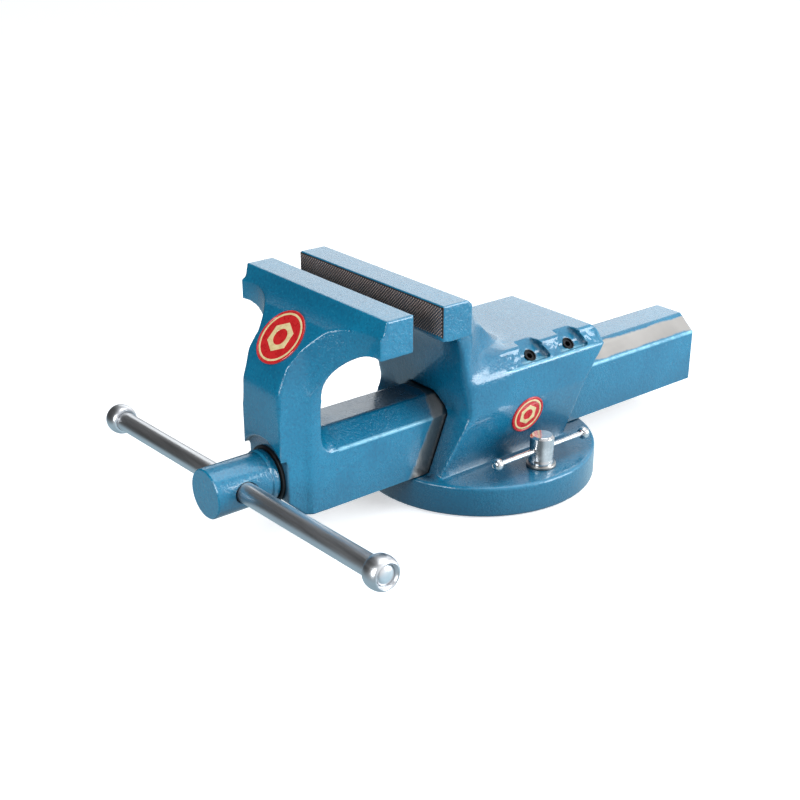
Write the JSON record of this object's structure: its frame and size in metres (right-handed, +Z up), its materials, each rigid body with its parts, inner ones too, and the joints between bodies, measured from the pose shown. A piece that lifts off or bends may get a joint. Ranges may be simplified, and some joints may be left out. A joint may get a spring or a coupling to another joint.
{
  "type": "bench vise",
  "caption": "Forged bench vise on a round swivel base, with a sliding front jaw on an octagonal bar, a screw spindle with a tommy handle, and clamp nuts that lock the swivel.",
  "frame": {"origin": "on the bench face, on the swivel axis, which is also the centre of the bench bolt circle", "axes": "+Z up from the bench, +Y along the slide bar towards its rear end, so the spindle and handle are at -Y, and +X to the operator's right as they face the handle end"},
  "size_m": [0.3134, 0.4322, 0.162],
  "materials": {
    "blue_enamel": "glossy enamel over a slightly rough forging",
    "bar_enamel": "glossy enamel with bare ground steel on the guide faces",
    "spindle_steel": "enamelled head, plain machined steel shank and thread",
    "jaw_steel": "hardened steel with a diamond serration on the working face",
    "bright_zinc": "bright zinc plate",
    "plain_steel": "machined steel",
    "black_steel": "blackened steel",
    "badge_enamel": "printed and lacquered label",
    "base_iron": "machined cast iron"
  },
  "bodies": {
    "base": {"base_plate": "base_iron", "pivot_pin": "plain_steel"},
    "body": {"fixed_body": "blue_enamel", "rear_jaw_plate": "jaw_steel", "gib_strip": "plain_steel", "gib_screws": "black_steel", "spindle_nut": "plain_steel", "nut_bolts": "black_steel", "clamp_bolts": "black_steel", "clamp_washers": "plain_steel", "body_badge": "badge_enamel"},
    "left_clamp": {"left_clamp_nut": "bright_zinc"},
    "right_clamp": {"right_clamp_nut": "bright_zinc"},
    "left_tommy": {"left_tommy_bar": "bright_zinc", "left_tommy_knobs": "bright_zinc"},
    "right_tommy": {"right_tommy_bar": "bright_zinc", "right_tommy_knobs": "bright_zinc"},
    "moving_jaw": {"front_jaw": "blue_enamel", "slide_bar": "bar_enamel", "front_jaw_plate": "jaw_steel", "front_badge": "badge_enamel"},
    "spindle": {"spindle": "spindle_steel", "thrust_washer": "plain_steel", "retaining_collar": "plain_steel", "collar_pin": "black_steel"},
    "handle": {"handle_bar": "bright_zinc", "left_handle_knob": "bright_zinc", "right_handle_knob": "bright_zinc"}
  },
  "joints": [
    {"name": "swivel", "type": "hinge", "parent": "base", "child": "body", "pos_m": [0, 0, 0], "axis": [0, 0, 1], "continuous": true},
    {"name": "jaw_slide", "type": "slide", "parent": "body", "child": "moving_jaw", "axis": [0, -1, 0], "range_m": [-0.021, 0.132]},
    {"name": "spindle_turn", "type": "hinge", "parent": "moving_jaw", "child": "spindle", "pos_m": [0, -0.2, 0.0473], "axis": [0, 1, 0], "continuous": true},
    {"name": "handle_slide", "type": "slide", "parent": "spindle", "child": "handle", "axis": [0.999, 0, 0.0448], "range_m": [-0.125, 0.125]},
    {"name": "right_clamp_turn", "type": "hinge", "parent": "body", "child": "right_clamp", "pos_m": [0.064, 0.002, 0.03], "axis": [0, 0, 1], "range_deg": [-12, 12]},
    {"name": "right_tommy_slide", "type": "slide", "parent": "right_clamp", "child": "right_tommy", "axis": [0, 1, 0], "range_m": [-0.029, 0.029]},
    {"name": "left_clamp_turn", "type": "hinge", "parent": "body", "child": "left_clamp", "pos_m": [-0.064, 0.002, 0.03], "axis": [0, 0, 1], "range_deg": [-12, 12]},
    {"name": "left_tommy_slide", "type": "slide", "parent": "left_clamp", "child": "left_tommy", "axis": [0, 1, 0], "range_m": [-0.029, 0.029]}
  ],
  "couplings": [
    {"joint": "spindle_turn", "follows": "jaw_slide", "rad_per_m": -1047.2}
  ]
}
